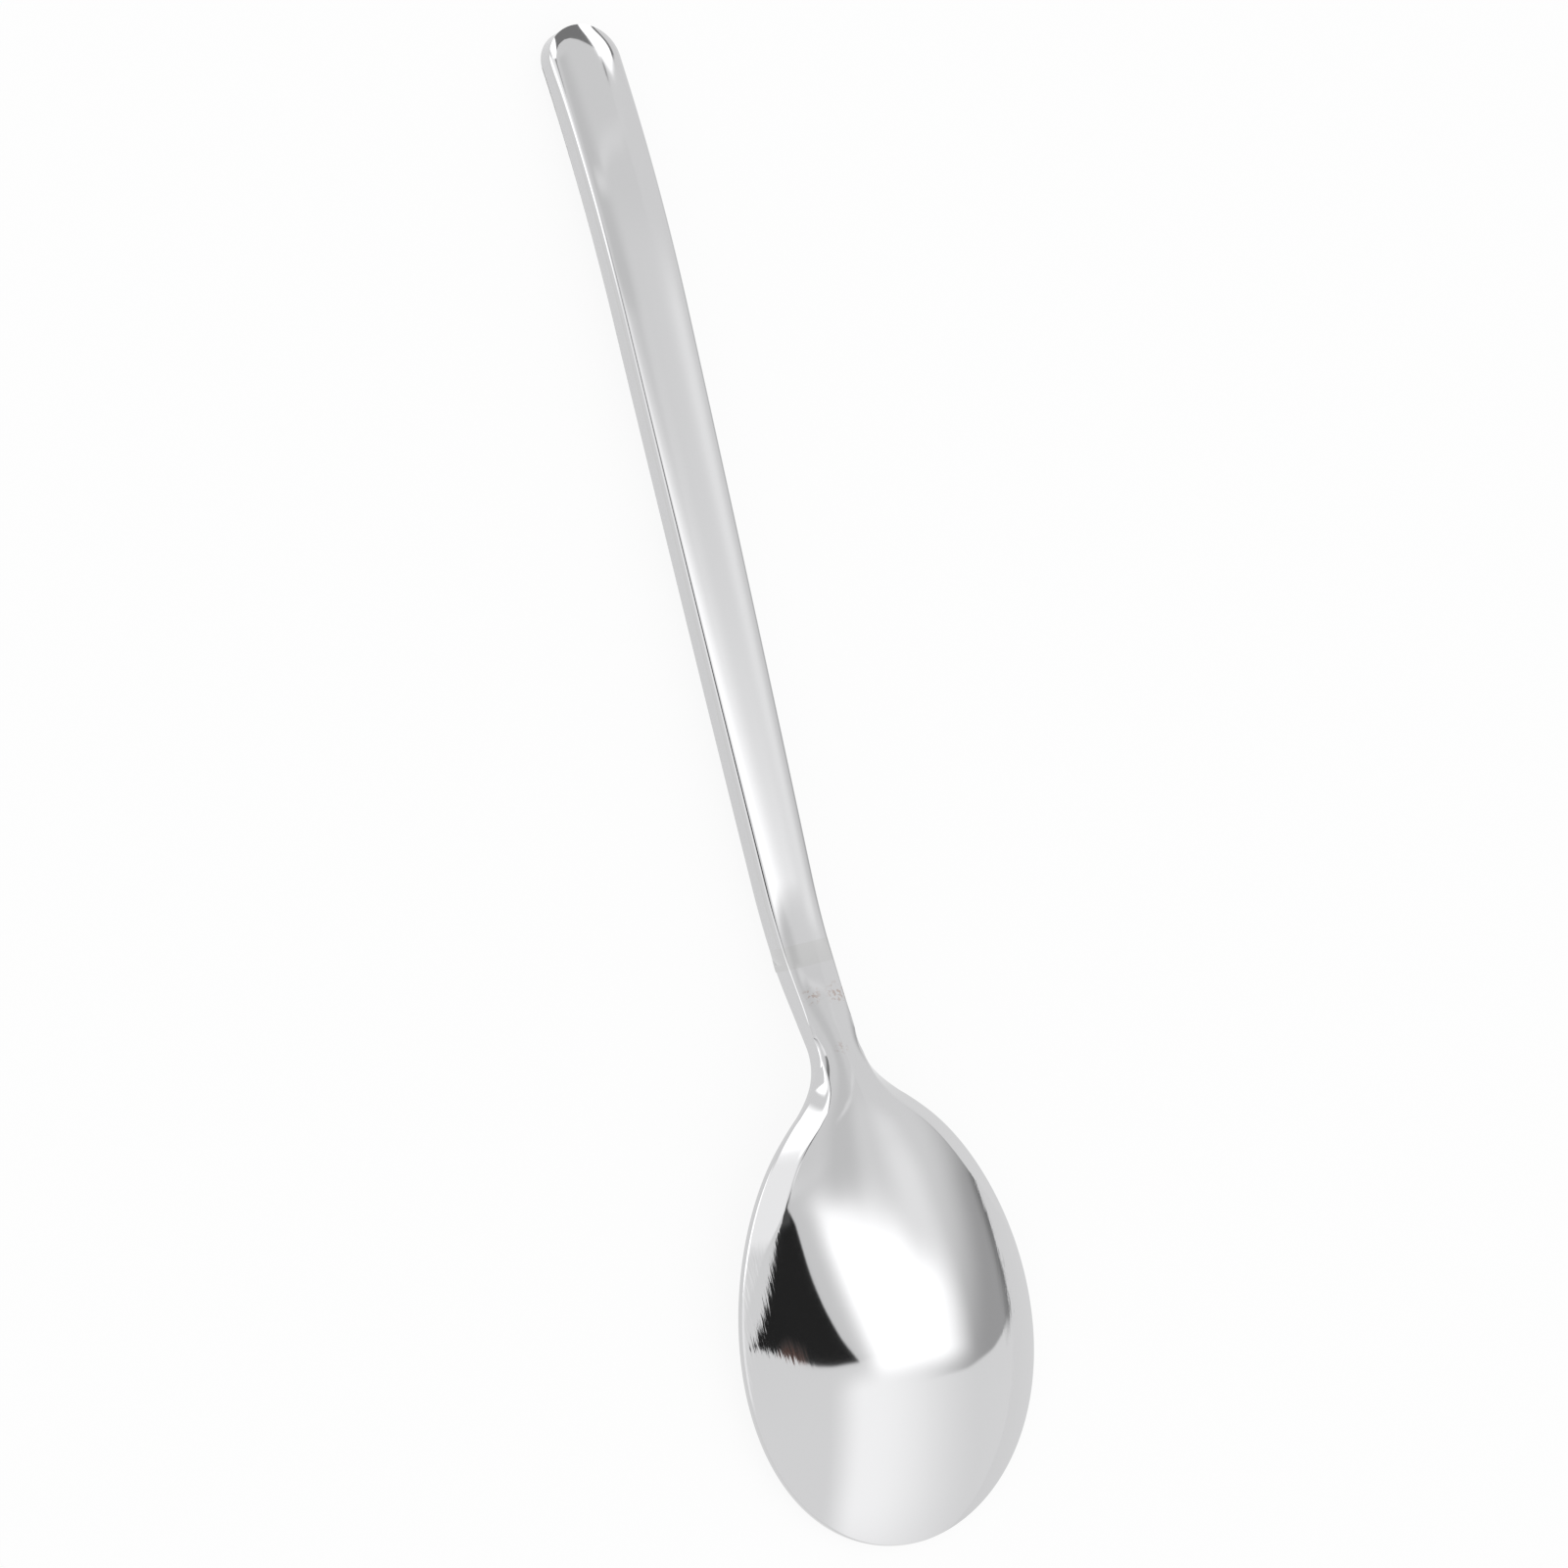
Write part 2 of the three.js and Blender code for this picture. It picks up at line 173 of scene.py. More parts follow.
class SpoonNeckSizes(bpy.types.PropertyGroup):
    """Sizes of the neck and the tang."""

    length: size("Length", "From the bowl to the weld", 16.6)
    width: size("Width", "Across the narrowest place", 6.2)
    mouth_spread: size("Mouth spread", "Length over which it widens to the handle's mouth", 14)
    tilt: angle("Tilt", "Of the neck against the handle", 14.5)
    edge: size("Edge", "Height of the worn edges of its back", 0.35)
    flare: size("Flare", "Reach of the curve into the bowl's outline", 8)
    flare_start: size("Flare start", "From the bowl's end back to where its outline runs on straight", 2.2)
    wall_rise: size("Wall rise", "Length over which the rim's edge grows to the neck's side", 9)
    flank_start: size("Flank start", "From the bowl's end back to where the flanks begin to steepen", 4)
    blend: size("Blend", "Length over which the bowl's arch runs over into the neck's back", 16)
    shoulder: size("Shoulder", "Length over which the neck's edges rise out of the bowl", 15)
    shoulder_blend: size("Shoulder softness", "Reach of the start of the shoulders", 12)
    droop: size("Droop", "Extra fall of the back's edges where the neck begins", 1.2)
    flank: angle("Flank angle", "Of the shoulders' flanks at the neck", 84)
    crease: size("Crease softness", "Of the edge between the back and the flanks", 0.25)
    bend_reach: size("Bend reach", "From the neck's end to the middle of the bend into the handle", 3.4)
    bend_blend: size("Bend softness", "Reach of the rounding of that bend", 2)
    weld: size("Weld length", "Between the neck and the handle's mouth", 3)
    tang: size("Tang length", "Of the bar inside the handle", 18)
    tang_clearance: size("Tang clearance", "Between the tang and the handle's walls", 0.3)


class SpoonHandleSizes(bpy.types.PropertyGroup):
    """Sizes of the handle and its seam."""

    length: size("Length", "From the weld to the end", 124.6)
    height: size("Height", "Of the front face above the floor, at the neck", 2.8)
    tilt: angle("Tilt", "Of the straight part against the floor", 0.6)
    width_at_neck: size("Width at the neck", "Across the handle's mouth", 7.2)
    width_at_end: size("Width at the end", "Across the round end", 10.3)
    swell: size("Swell", "Extra width half way, over a straight taper", 0.52)
    thickness: size("Thickness", "From the front face to the middle of the back", 4.2)
    crown: size("Crown", "Rise of the back across its width", 0.6)
    back_edge: size("Back edge", "Height of the back's rounded edges", 0.45)
    front_edge: size("Front edge", "Height of the front's rounded edges", 0.35)
    wall: size("Wall", "Thickness of the pressed shells", 0.8)
    tip_length: size("Round end", "Length of the round end", 5)
    tip_bend: size("End bend", "Length of the curve down to the floor", 40)
    seam_drop: size("Seam drop", "From the back's rounded edges down to the bead", 0.1)
    bead_width: size("Bead width", "Height of the bead along the seam", 0.4)
    bead_depth: size("Bead depth", "Depth of the bead in the wall", 0.4)
    root_gap: size("Root gap", "Between the shells behind the bead", 0.1)


class SpoonColours(bpy.types.PropertyGroup):
    """Colours of the steel and the stage."""

    steel: colour("Steel", "Polished stainless steel", "#CDCDCE")
    weld: colour("Weld", "Ground weld metal", "#C9C9C9")
    tint: colour("Heat tint", "Straw-brown film left near a weld", "#A58D80")
    floor: colour("Floor", "White studio floor", "#F3F3F3")


def clamp01(value):
    return min(max(value, 0.0), 1.0)


def lerp(a, b, share):
    return a + (b - a) * share


def smoothstep(value, start, end):
    t = clamp01((value - start) / (end - start))
    return t * t * (3 - 2 * t)


def soft_max(a, b, reach):
    """The larger of two values, with the corner between them rounded over a reach."""
    near = max(reach - abs(a - b), 0)
    return max(a, b) + (near * near / (4 * reach) if near else 0)


def soft_min(a, b, reach):
    return -soft_max(-a, -b, reach)


def egg_place(station, start, end, egg):
    """Place between -1 and 1 along a stretch, leaning so that 0 falls before its middle."""
    t = 2 * (station - start) / (end - start) - 1
    return t + egg * (1 - t * t)


def arch(place):
    return 1 - place * place


def across(place):
    """Height across the bowl: 1 in the middle and 0 at the rim."""
    return 1 - (1 - BOWL_FULLNESS) * place**2 - BOWL_FULLNESS * abs(place) ** BOWL_POWER


def spread(count):
    """Places from -1 to 1, closer together towards the edges."""
    even = [2 * i / count - 1 for i in range(count + 1)]
    return [lerp(t, math.sin(math.pi / 2 * t), EDGE_CROWDING) for t in even]


def corner(start, turn, end):
    """Points that round a corner of a section, without its two ends."""
    shares = [(i + 1) / (CORNER_COLUMNS + 1) for i in range(CORNER_COLUMNS)]
    return [start * (1 - t) ** 2 + turn * 2 * t * (1 - t) + end * t * t for t in shares]


class SpoonForm:
    """Heights, widths and rings of points of the spoon at a station."""

    def __init__(self, scene):
        self.bowl, self.neck, self.handle = scene.spoon_bowl, scene.spoon_neck, scene.spoon_handle
        bowl, neck, handle = self.bowl, self.neck, self.handle
        self.neck_end = bowl.length + neck.length
        self.handle_start = self.neck_end + neck.weld
        self.length = self.handle_start + handle.length
        self.neck_bend = self.neck_end + neck.bend_reach
        self.dome_end = bowl.length + bowl.dome_overrun
        self.shoulder_start = bowl.length - neck.shoulder
        self.tip_start = self.length - handle.tip_length
        self.flare_start = bowl.length - neck.flare_start
        self.shoulder_end = bowl.length + neck.wall_rise
        self.flank_start = bowl.length - neck.flank_start
        self.hollow_end = bowl.length - bowl.heel_land
        self.hollow_depth = bowl.rise + bowl.rim_edge - bowl.wall
        side_height = handle.thickness - handle.crown - handle.back_edge
        self.seam = side_height - handle.seam_drop - handle.bead_width / 2

    def place(self, x, station, z):
        return Vector((x, station - self.length / 2, z))

    def straight_front(self, station):
        return self.handle.height + (station - self.handle_start) * math.tan(self.handle.tilt)

    def tip_bend(self, station):
        """0 along the straight handle, growing to 1 at its end."""
        return clamp01((station - self.length) / self.handle.tip_bend + 1) ** TIP_BEND_POWER

    def front_face(self, station):
        """Height of the front, which slopes down from the bowl, runs level and curves down to the floor."""
        slope = (self.neck_bend - station) * math.tan(self.neck.tilt)
        drop = self.straight_front(self.length) * self.tip_bend(station)
        return self.straight_front(station) + soft_max(slope, 0, self.neck.bend_blend) - drop

    def rim_plane(self, station):
        return station * math.tan(self.bowl.rim_tilt)

    def lower_edge(self, station):
        heel = self.bowl.heel_raise * smoothstep(station, self.shoulder_end, self.bowl.length)
        return soft_min(self.rim_plane(station), self.front_face(station) + heel, self.bowl.heel_blend)

    def back_line(self, station):
        """Height of the back's middle line along the bowl and neck."""
        rise = self.bowl.rise * arch(egg_place(station, 0, self.dome_end, DOME_EGG))
        dome = self.rim_plane(station) + self.bowl.rim_edge + rise
        neck = self.front_face(station) + self.handle.thickness
        return lerp(dome, neck, smoothstep(station, self.dome_end - self.neck.blend, self.dome_end))

    def mouth(self, station):
        """0 along the neck, growing to 1 at the handle's mouth."""
        return smoothstep(station, self.handle_start - self.neck.mouth_spread, self.handle_start)

    def bowl_half_width(self, station):
        place = egg_place(station, 0, self.bowl.length, BOWL_EGG)
        return self.bowl.width / 2 * math.sqrt(max(arch(place), 0))

    def head_half_width(self, station):
        """Half the width of the bowl, which runs on straight past the start of the flare, or of the neck."""
        start, step = self.flare_start, self.bowl.rim_edge
        slope = (self.bowl_half_width(start) - self.bowl_half_width(start - step)) / step
        bowl = self.bowl_half_width(min(station, start)) + slope * max(station - start, 0)
        if station < self.bowl.length / 2:
            return bowl
        neck = lerp(self.neck.width, self.handle.width_at_neck, self.mouth(station)) / 2
        return soft_max(bowl, neck, self.neck.flare)

    def handle_half_width(self, station):
        along = (station - self.handle_start) / self.handle.length
        taper = lerp(self.handle.width_at_neck, self.handle.width_at_end, along)
        return (taper + self.handle.swell * arch(2 * along - 1)) / 2

    def dome_root(self, station):
        """Rise and half width of the dome, which stay as they are past the shoulders' start."""
        root = soft_min(station, self.shoulder_start, self.neck.shoulder_blend)
        rise = self.back_line(root) - self.lower_edge(root) - self.bowl.rim_edge
        return rise, max(self.head_half_width(root), WELD_DISTANCE)

    def back_fall(self, station, x):
        """Fall of the back from its middle line: the bowl's dome, running over into the handle's crown."""
        rise, half = self.dome_root(station)
        dome = rise * (1 - across(x / half))
        place = abs(x) / max(self.head_half_width(station), WELD_DISTANCE)
        near = smoothstep(station, self.shoulder_start, self.bowl.length)
        near *= smoothstep(station, self.neck_end, self.bowl.length)
        droop = self.neck.droop * near * place**2
        return lerp(dome, self.handle.crown * place**CROWN_POWER, self.mouth(station)) + droop

    def head_ring(self, station, hollow_station):
        """Closed ring of the bowl or neck: the underside from left to right, then the back to the left."""
        neck, handle = self.neck, self.handle
        half, low = self.head_half_width(station), self.lower_edge(station)
        shoulder = smoothstep(station, self.shoulder_start, self.bowl.length)
        wall = smoothstep(station, self.bowl.length, self.shoulder_end)
        mouth = self.mouth(station)
        drop = lerp(neck.edge, handle.crown + handle.back_edge, mouth)
        edge = lerp(self.bowl.rim_edge, handle.thickness - drop, wall)
        rise = self.back_line(station) - low - edge
        root_rise, root_half = self.dome_root(station)
        steepness = smoothstep(station, self.flank_start, self.shoulder_end)
        flank = math.tan(lerp(math.atan2(RIM_SLOPE * root_rise, root_half), neck.flank, steepness))
        reach = min(self.bowl.rim_round, half / 2)

        def back(x):
            dome = rise - self.back_fall(station, x)
            cut = soft_min(dome, flank * (half - abs(x)), neck.crease * shoulder)
            rounded = dome * (1 - (abs(x) / max(half, WELD_DISTANCE)) ** EDGE_POWER)
            return self.place(x, station, low + edge + lerp(cut, rounded, mouth))

        def side(x, z):
            return self.place(x, station, z)

        inner = half - reach
        over = [back(u * inner) for u in reversed(spread(BACK_COLUMNS))]
        brow = 2 * over[0].z - back(inner - reach).z
        foot = low + edge - reach
        right_top = corner(side(half, foot), side(half, brow), over[0])
        left_top = corner(over[-1], side(-half, brow), side(-half, foot))
        right_low = corner(side(inner, low), side(half, low), side(half, low + reach))
        left_low = corner(side(-half, low + reach), side(-half, low), side(-inner, low))
        levels = [lerp(low + reach, foot, i / WALL_COLUMNS) for i in range(WALL_COLUMNS + 1)]
        right_wall = [side(half, z) for z in levels]
        left_wall = [side(-half, z) for z in reversed(levels)]
        under = [side(-inner, low), *self.hollow_row(hollow_station, inner), side(inner, low)]
        return [*under, *right_low, *right_wall, *right_top, *over, *left_top, *left_wall, *left_low]

    def hollow_row(self, station, flat_half):
        """Row of points across the hollow, or across the flat front where the station is past it."""
        start, end = self.bowl.rim_land, self.hollow_end
        inside = max(arch(egg_place(min(station, end), start, end, BOWL_EGG)), 0)
        half = (self.bowl.width / 2 - self.bowl.rim_land) * math.sqrt(inside)
        depth = self.hollow_depth * inside**HOLLOW_FULLNESS
        if station > end:
            half = flat_half * HEEL_SHARE
        low = self.lower_edge(station)
        return [self.place(u * half, station, low + depth * across(u)) for u in spread(HOLLOW_COLUMNS)]

    def head_rings(self):
        """Rings from the bowl's tip along the neck to the end of the tang."""
        rings = []
        land, end = self.bowl.rim_land, self.hollow_end
        for i in range(BOWL_ROWS + 1):
            share = i / BOWL_ROWS
            station = self.bowl.length / 2 * (1 - math.cos(BOWL_SWEEP * share))
            hollow = lerp(land, end, (1 - math.cos(math.pi * share)) / 2)
            rings.append(self.head_ring(station, hollow))
        last = station
        for i in range(NECK_ROWS):
            station = lerp(last, self.neck_end, (i + 1) / NECK_ROWS)
            rings.append(self.head_ring(station, max(station, end)))
        root = rings[-1]
        for i in range(TANG_ROWS + 1):
            station = lerp(self.neck_end, self.handle_start + self.neck.tang, i / TANG_ROWS)
            rings.append([self.tang_point(point, station) for point in root])
        return rings

    def tang_point(self, point, station):
        """The nearest place on the tang's oblong section."""
        mouth = self.handle.width_at_neck / 2
        inset = self.handle.wall + self.neck.tang_clearance
        half = mouth - inset
        front = self.front_face(station)
        top = front + self.handle.thickness - inset - self.handle.crown * (half / mouth) ** CROWN_POWER
        x = min(max(point.x, -half), half)
        z = min(max(point.z, front + inset), top)
        return self.place(x, station, z)

    def handle_stations(self):
        bend = self.length - self.handle.tip_bend
        straight = [lerp(self.handle_start, bend, i / HANDLE_ROWS) for i in range(HANDLE_ROWS)]
        curve = [lerp(bend, self.tip_start, i / BEND_ROWS) for i in range(BEND_ROWS)]
        turns = [math.pi / 2 * i / TIP_ROWS for i in range(TIP_ROWS + 1)]
        return straight + curve + [self.tip_start + self.handle.tip_length * math.sin(t) for t in turns]

    def inset_station(self, station, inset):
        """Station on a form that lies a depth inside the handle's outside."""
        share = (station - self.handle_start) / self.handle.length
        return self.handle_start + share * (self.handle.length - inset)

    def handle_half(self, station, inset):
        """Half the width of the handle, drawn in by an inset, with its round end."""
        past = clamp01((station - self.tip_start) / (self.handle.tip_length - inset))
        return (self.handle_half_width(station) - inset) * math.sqrt(1 - past * past)

    def past_tip(self, station):
        """0 where the round end starts and 1 at the spoon's end."""
        return clamp01((station - self.tip_start) / self.handle.tip_length)

    def outness(self, x, station):
        """0 on the middle line and 1 at the edges, also round the end."""
        return min(math.hypot(x / self.handle_half_width(station), self.past_tip(station)), 1)

    def edge_fall(self, x, station):
        """Fall of the handle's rounded edges, from 0 to 1, with a flatter edge at the very end."""
        power = lerp(EDGE_POWER, TIP_EDGE_POWER, self.tip_bend(station))
        return self.outness(x, station) ** power * (1 - TIP_FLATNESS * self.past_tip(station) ** 2)

    def back_height(self, x, station):
        crown = self.handle.crown * self.outness(x, station) ** CROWN_POWER
        edge = self.handle.back_edge * self.edge_fall(x, station)
        return self.front_face(station) + self.handle.thickness - crown - edge

    def front_height(self, x, station):
        return self.front_face(station) + self.handle.front_edge * self.edge_fall(x, station)

    def roof_height(self, x, station):
        crown = self.handle.crown * self.outness(x, station) ** CROWN_POWER
        return self.front_face(station) + self.handle.thickness - self.handle.wall - crown

    def floor_height(self, _x, station):
        return self.front_face(station) + self.handle.wall

    def seam_step(self, station, outer, inner, side):
        """Points of a shell's seam face on one side, from the outside to the cavity."""
        deep = self.inset_station(station, self.handle.bead_depth)
        root = self.inset_station(station, self.handle.wall)
        half = self.handle_half(deep, self.handle.bead_depth)
        cavity = self.handle_half(root, self.handle.wall)
        return [
            self.place(side * half, deep, self.front_face(deep) + outer),
            self.place(side * half, deep, self.front_face(deep) + inner),
            self.place(side * cavity, root, self.front_face(root) + inner),
        ]

    def shell_ring(self, station, outer_height, seam, root, inner_height):
        """Closed ring of a handle shell: outside from left to right, then the inside back to the left."""
        half = self.handle_half(station, 0)
        low = self.front_face(station)
        cavity_station = self.inset_station(station, self.handle.wall)
        cavity = self.handle_half(cavity_station, self.handle.wall)
        rim = outer_height(half, station)
        levels = [lerp(low + seam, rim, i / WALL_COLUMNS) for i in range(WALL_COLUMNS)]
        left = [self.place(-half, station, z) for z in levels]
        right = [self.place(half, station, z) for z in reversed(levels)]
        face = [self.place(u * half, station, outer_height(u * half, station)) for u in spread(FACE_COLUMNS)]
        inside = [
            self.place(-u * cavity, cavity_station, inner_height(-u * cavity, cavity_station))
            for u in spread(CAVITY_COLUMNS)
        ]
        right_step = self.seam_step(station, seam, root, 1)
        left_step = self.seam_step(station, seam, root, -1)
        return [*left, *face, *right, *right_step, *inside, *reversed(left_step)]

    def front_shell_rings(self):
        seam = self.seam - self.handle.bead_width / 2
        root = self.seam - self.handle.root_gap / 2
        faces = (self.front_height, seam, root, self.floor_height)
        return [self.shell_ring(station, *faces) for station in self.handle_stations()]

    def back_shell_rings(self):
        seam = self.seam + self.handle.bead_width / 2
        root = self.seam + self.handle.root_gap / 2
        faces = (self.back_height, seam, root, self.roof_height)
        return [self.shell_ring(station, *faces) for station in self.handle_stations()]

    def bead_rings(self):
        """Rings of the seam's bead, up the left side, round the end and back along the right side."""
        stations = self.handle_stations()
        bottom = self.seam - self.handle.bead_width / 2
        top = self.seam + self.handle.bead_width / 2
        rings = []
        for side, order in ((-1, stations), (1, stations[-2::-1])):
            for station in order:
                deep = self.inset_station(station, self.handle.bead_depth)
                half = side * self.handle_half(station, 0)
                inner = side * self.handle_half(deep, self.handle.bead_depth)
                low, deep_low = self.front_face(station), self.front_face(deep)
                rings.append(
                    [
                        self.place(half, station, low + bottom),
                        self.place(half, station, low + top),
                        self.place(inner, deep, deep_low + top),
                        self.place(inner, deep, deep_low + bottom),
                    ]
                )
        return rings

    def neck_weld_rings(self):
        """Rings of the bead at the handle's mouth: its outside, then the passage of the tang."""
        handle = self.handle
        outside = []
        places = spread(FACE_COLUMNS)
        for i in range(WELD_ROWS + 1):
            station = lerp(self.neck_end, self.handle_start, i / WELD_ROWS)
            share = smoothstep(station, self.neck_end, self.handle_start)
            half, low = self.head_half_width(station), self.front_face(station)
            front = [low + handle.front_edge * share * abs(u) ** EDGE_POWER for u in places]
            edges = [handle.back_edge * abs(u) ** EDGE_POWER for u in places]
            falls = [self.back_fall(station, u * half) + edge for u, edge in zip(places, edges)]
            back = [low + handle.thickness - fall for fall in falls]
            lower = [self.place(u * half, station, z) for u, z in zip(places, front)]
            upper = [self.place(-u * half, station, z) for u, z in zip(places, back)]
            outside.append(lower + upper)
        passage = [[self.tang_point(p, s) for p in outside[0]] for s in (self.handle_start, self.neck_end)]
        return [*outside, *passage, outside[0]]


def loft(rings, finish_of=None):
    """Closed mesh through rings of points, with U round each ring and V along the piece."""
    mesh = bmesh.new()
    mesh.loops.layers.uv.new("along")
    columns, rows = len(rings[0]), len(rings) - 1
    bmesh.ops.create_grid(mesh, x_segments=columns, y_segments=rows, size=0.5, calc_uvs=True)
    reach = max(vert.co.x for vert in mesh.verts)
    for face in mesh.faces:
        face.smooth = True
        column = int((face.calc_center_median().x / reach + 1) / 2 * columns)
        face.material_index = finish_of(column) if finish_of else 0
    for vert in mesh.verts:
        i = round((vert.co.x / reach + 1) / 2 * columns) % columns
        j = round((vert.co.y / reach + 1) / 2 * rows)
        vert.co = rings[j][i]
    bmesh.ops.remove_doubles(mesh, verts=mesh.verts, dist=WELD_DISTANCE)
    bmesh.ops.holes_fill(mesh, edges=[edge for edge in mesh.edges if edge.is_boundary], sides=0)
    bmesh.ops.recalc_face_normals(mesh, faces=mesh.faces)
    for edge in mesh.edges:
        edge.smooth = edge.calc_face_angle(0) < SHARP_ANGLE
    return mesh


def add_object(name, mesh, materials):
    """Links a finished mesh into the scene, at the origin."""
    data = bpy.data.meshes.new(name)
    mesh.to_mesh(data)
    mesh.free()
    for material in materials:
        data.materials.append(material)
    made = bpy.data.objects.new(name, data)
    bpy.context.scene.collection.objects.link(made)
    return made


def add_piece(name, mesh, materials, node):
    """Makes a finished mesh a piece of the spoon, in place of its CAD node."""
    piece = add_object(name, mesh, materials)
    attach(piece, BODY)
    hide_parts(node)


def add_node(tree, kind, inputs=None, **settings):
    """Adds a node with its settings, and sets or links its inputs."""
    node = tree.nodes.new(kind)
    for name, value in settings.items():
        setattr(node, name, value)
    for name, value in (inputs or {}).items():
        if isinstance(value, bpy.types.NodeSocket):
            tree.links.new(value, node.inputs[name])
        else:
            node.inputs[name].default_value = value
    return node


def new_material(name):
    """Empty material and its node tree."""
    material = bpy.data.materials.new(name)
    material.use_nodes = True
    material.node_tree.nodes.clear()
    return material, material.node_tree


def panel_mask(tree, spot, corners, softness):
    """1 inside a panel's corners and 0 outside, with the corners in anticlockwise order.

    Each edge fades over its own softness to either side.
    """
    mask = None
    for start, end, soft in zip(corners, corners[1:] + corners[:1], softness):
        inward = Vector((start[1] - end[1], end[0] - start[0], 0)).normalized()
        limit = inward.dot(Vector((*start, 0)))
        reach = add_node(
            tree, "ShaderNodeVectorMath", {0: spot, 1: inward}, operation="DOT_PRODUCT"
        ).outputs["Value"]
        fade = add_node(
            tree,
            "ShaderNodeMapRange",
            {"Value": reach, "From Min": limit - soft, "From Max": limit + soft},
            interpolation_type="SMOOTHSTEP",
        ).outputs["Result"]
        mask = fade if mask is None else add_node(
            tree, "ShaderNodeMath", {0: mask, 1: fade}, operation="MULTIPLY"
        ).outputs["Value"]
    return mask


def mottle(tree, place, feature):
    """Cloudy mottle with features of a size in metres along X, Y and Z."""
    scaled = add_node(
        tree, "ShaderNodeMapping", {"Vector": place, "Scale": [1 / length for length in feature]}
    ).outputs["Vector"]
    return add_node(
        tree, "ShaderNodeTexNoise", {"Vector": scaled, "Scale": 1.0, "Detail": MOTTLE_DETAIL}
    ).outputs["Fac"]


def tinted(tree, place, base, tint):
    """Steel's colour with the brown film in specks that welding and buffing left on the neck."""
    colour_at = base
    for spot, reach in FILM_SPOTS:
        apart = add_node(
            tree, "ShaderNodeVectorMath", {0: place, 1: spot}, operation="DISTANCE"
        ).outputs["Value"]
        near = add_node(
            tree,
            "ShaderNodeMapRange",
            {"Value": apart, "From Min": reach, "From Max": reach * FILM_CORE, "To Max": FILM_STRENGTH},
        ).outputs["Result"]
        spotting = mottle(tree, place, (FILM_SPECK,) * 3)
        specks = add_node(
            tree,
            "ShaderNodeMapRange",
            {"Value": spotting, "From Min": FILM_EDGE[0], "From Max": FILM_EDGE[1]},
        ).outputs["Result"]
        share = add_node(tree, "ShaderNodeMath", {0: near, 1: specks}, operation="MULTIPLY").outputs["Value"]
        mix = add_node(tree, "ShaderNodeMix", {0: share, 6: colour_at, 7: tint}, data_type="RGBA")
        colour_at = mix.outputs[2]
    return colour_at


def polished_steel(name, base, roughness, line_depth, rim_depth=None, tint=None):
    """Cold-pressed 18/10 stainless steel, buffed along its length.

    The buffing wheel leaves faint lengthwise lines, deeper near the bowl's rim, so sharp reflections fray a
    little across them, and handling leaves broad patches that are a touch duller.
    """
    material, tree = new_material(name)
    place = add_node(tree, "ShaderNodeTexCoord").outputs["Object"]
    lines = mottle(tree, place, (LINE_WIDTH, LINE_LENGTH, LINE_WIDTH))
    patches = mottle(tree, place, (PATCH_SIZE,) * 3)
    dullness = add_node(
        tree,
        "ShaderNodeMapRange",
        {
            "Value": patches,
            "From Min": PATCH_EDGE[0],
            "From Max": PATCH_EDGE[1],
            "To Min": roughness * PATCH_DULLNESS[0],
            "To Max": roughness * PATCH_DULLNESS[1],
        },
    ).outputs["Result"]
    depth = line_depth
    if rim_depth:
        side = add_node(tree, "ShaderNodeSeparateXYZ", {"Vector": place}).outputs["X"]
        out = add_node(tree, "ShaderNodeMath", {0: side}, operation="ABSOLUTE").outputs["Value"]
        depth = add_node(
            tree,
            "ShaderNodeMapRange",
            {
                "Value": out,
                "From Min": RIM_REACH[0],
                "From Max": RIM_REACH[1],
                "To Min": line_depth,
                "To Max": rim_depth,
            },
        ).outputs["Result"]
    bump = add_node(
        tree, "ShaderNodeBump", {"Height": lines, "Strength": 1.0, "Distance": depth}
    ).outputs["Normal"]
    shader = add_node(
        tree,
        "ShaderNodeBsdfPrincipled",
        {
            "Base Color": tinted(tree, place, base, tint) if tint else base,
            "Metallic": 1.0,
            "Roughness": dullness,
            "Normal": bump,
        },
    )
    add_node(tree, "ShaderNodeOutputMaterial", {"Surface": shader.outputs["BSDF"]})
    return material


class SPOON_OT_bowl_and_neck(bpy.types.Operator):
    """Makes the bowl, the neck and the tang as one pressed blank"""

    bl_idname = "spoon.bowl_and_neck"
    bl_label = "Bowl and neck"

    def execute(self, context):
        colours = context.scene.spoon_colours
        steel = polished_steel(
            "mirror-polished stainless steel",
            colours.steel,
            MIRROR_ROUGHNESS,
            MIRROR_LINES,
            rim_depth=RIM_LINES,
            tint=colours.tint,
        )
        mesh = loft(SpoonForm(context.scene).head_rings())
        add_piece("spoon_bowl", mesh, [steel], "bowl_and_neck")
        return {"FINISHED"}


class SPOON_OT_handle(bpy.types.Operator):
    """Makes the handle's two pressed shells"""

    bl_idname = "spoon.handle"
    bl_label = "Handle shells"

    def execute(self, context):
        form, colours = SpoonForm(context.scene), context.scene.spoon_colours
        buffed = polished_steel("buffed stainless steel", colours.steel, BUFFED_ROUGHNESS, BUFFED_LINES)
        ground = polished_steel("ground stainless steel", colours.steel, GROUND_ROUGHNESS, GROUND_LINES)

        def finish(column):
            on_wall = column < WALL_COLUMNS or 0 <= column - WALL_COLUMNS - FACE_COLUMNS < WALL_COLUMNS
            return 1 if on_wall else 0

        front = loft(form.front_shell_rings(), finish)
        back = loft(form.back_shell_rings(), finish)
        add_piece("spoon_handle_front", front, [buffed, ground], "handle_front_shell")
        add_piece("spoon_handle_back", back, [buffed, ground], "handle_back_shell")
        return {"FINISHED"}


